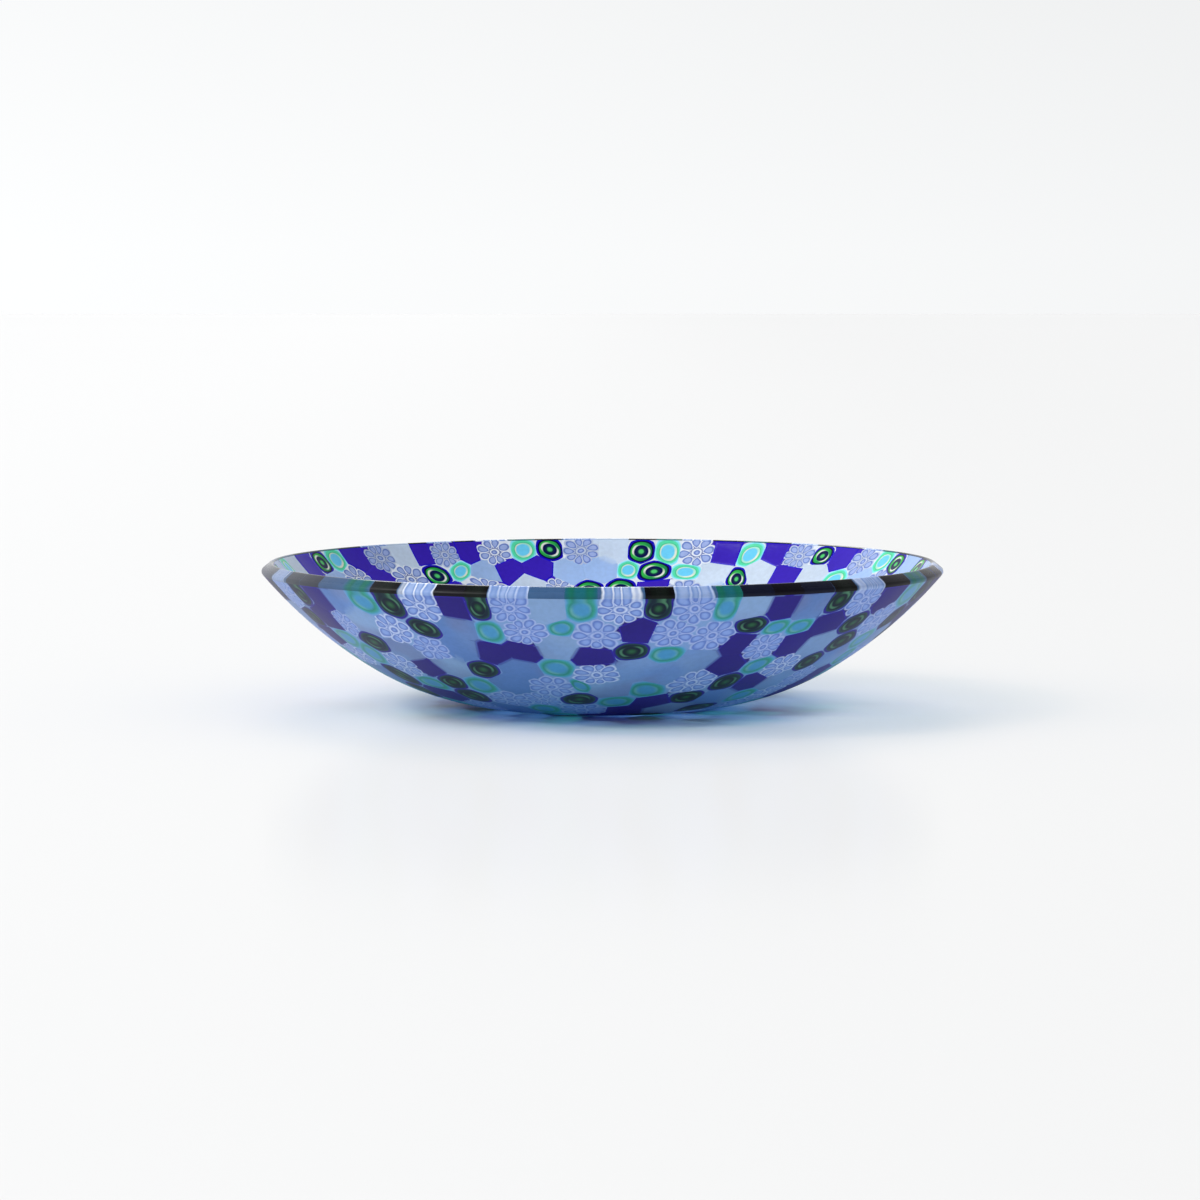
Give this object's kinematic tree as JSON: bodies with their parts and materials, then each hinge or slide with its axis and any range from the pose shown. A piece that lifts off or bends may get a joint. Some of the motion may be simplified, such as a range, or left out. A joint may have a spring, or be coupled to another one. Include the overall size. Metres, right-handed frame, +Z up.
{
  "type": "mosaic glass bowl",
  "caption": "Shallow round mosaic glass bowl of fused cane slices, with a flat ground rim and a small flat base, for display or light items.",
  "frame": {"origin": "on the bowl's axis, in the plane of the flat ground base", "axes": "+Z up along the bowl's axis, out of its mouth; -Y towards the viewer"},
  "size_m": [0.16, 0.16, 0.0341],
  "materials": {
    "cobalt_glass": "solid violet blue glass, gloss inside and satin outside",
    "pale_blue_glass": "translucent periwinkle glass, gloss inside and satin outside",
    "ice_white_glass": "milky white glass, gloss inside and satin outside",
    "dark_eye_glass": "navy, green and white layers, gloss inside and satin outside",
    "aqua_eye_glass": "aqua, green and cream layers, gloss inside and satin outside",
    "flower_glass": "blue petals outlined in white, gloss inside and satin outside"
  },
  "bodies": {
    "root": {"centre_aqua_eye_slices": "aqua_eye_glass", "centre_cobalt_slices": "cobalt_glass", "centre_dark_eye_slices": "dark_eye_glass", "centre_flower_slices": "flower_glass", "centre_ice_white_slices": "ice_white_glass", "centre_pale_blue_slices": "pale_blue_glass", "floor_ring_aqua_eye_slices": "aqua_eye_glass", "floor_ring_cobalt_slices": "cobalt_glass", "floor_ring_dark_eye_slices": "dark_eye_glass", "floor_ring_flower_slices": "flower_glass", "floor_ring_ice_white_slices": "ice_white_glass", "floor_ring_pale_blue_slices": "pale_blue_glass", "lower_course_aqua_eye_slices": "aqua_eye_glass", "lower_course_cobalt_slices": "cobalt_glass", "lower_course_dark_eye_slices": "dark_eye_glass", "lower_course_flower_slices": "flower_glass", "lower_course_ice_white_slices": "ice_white_glass", "lower_course_pale_blue_slices": "pale_blue_glass", "middle_course_aqua_eye_slices": "aqua_eye_glass", "middle_course_cobalt_slices": "cobalt_glass", "middle_course_dark_eye_slices": "dark_eye_glass", "middle_course_flower_slices": "flower_glass", "middle_course_ice_white_slices": "ice_white_glass", "middle_course_pale_blue_slices": "pale_blue_glass", "rim_course_aqua_eye_slices": "aqua_eye_glass", "rim_course_cobalt_slices": "cobalt_glass", "rim_course_dark_eye_slices": "dark_eye_glass", "rim_course_flower_slices": "flower_glass", "rim_course_ice_white_slices": "ice_white_glass", "rim_course_pale_blue_slices": "pale_blue_glass", "shoulder_course_aqua_eye_slices": "aqua_eye_glass", "shoulder_course_cobalt_slices": "cobalt_glass", "shoulder_course_dark_eye_slices": "dark_eye_glass", "shoulder_course_flower_slices": "flower_glass", "shoulder_course_ice_white_slices": "ice_white_glass", "shoulder_course_pale_blue_slices": "pale_blue_glass", "turn_course_aqua_eye_slices": "aqua_eye_glass", "turn_course_cobalt_slices": "cobalt_glass", "turn_course_dark_eye_slices": "dark_eye_glass", "turn_course_flower_slices": "flower_glass", "turn_course_ice_white_slices": "ice_white_glass", "turn_course_pale_blue_slices": "pale_blue_glass", "upper_course_aqua_eye_slices": "aqua_eye_glass", "upper_course_cobalt_slices": "cobalt_glass", "upper_course_dark_eye_slices": "dark_eye_glass", "upper_course_flower_slices": "flower_glass", "upper_course_ice_white_slices": "ice_white_glass", "upper_course_pale_blue_slices": "pale_blue_glass"}
  },
  "joints": []
}
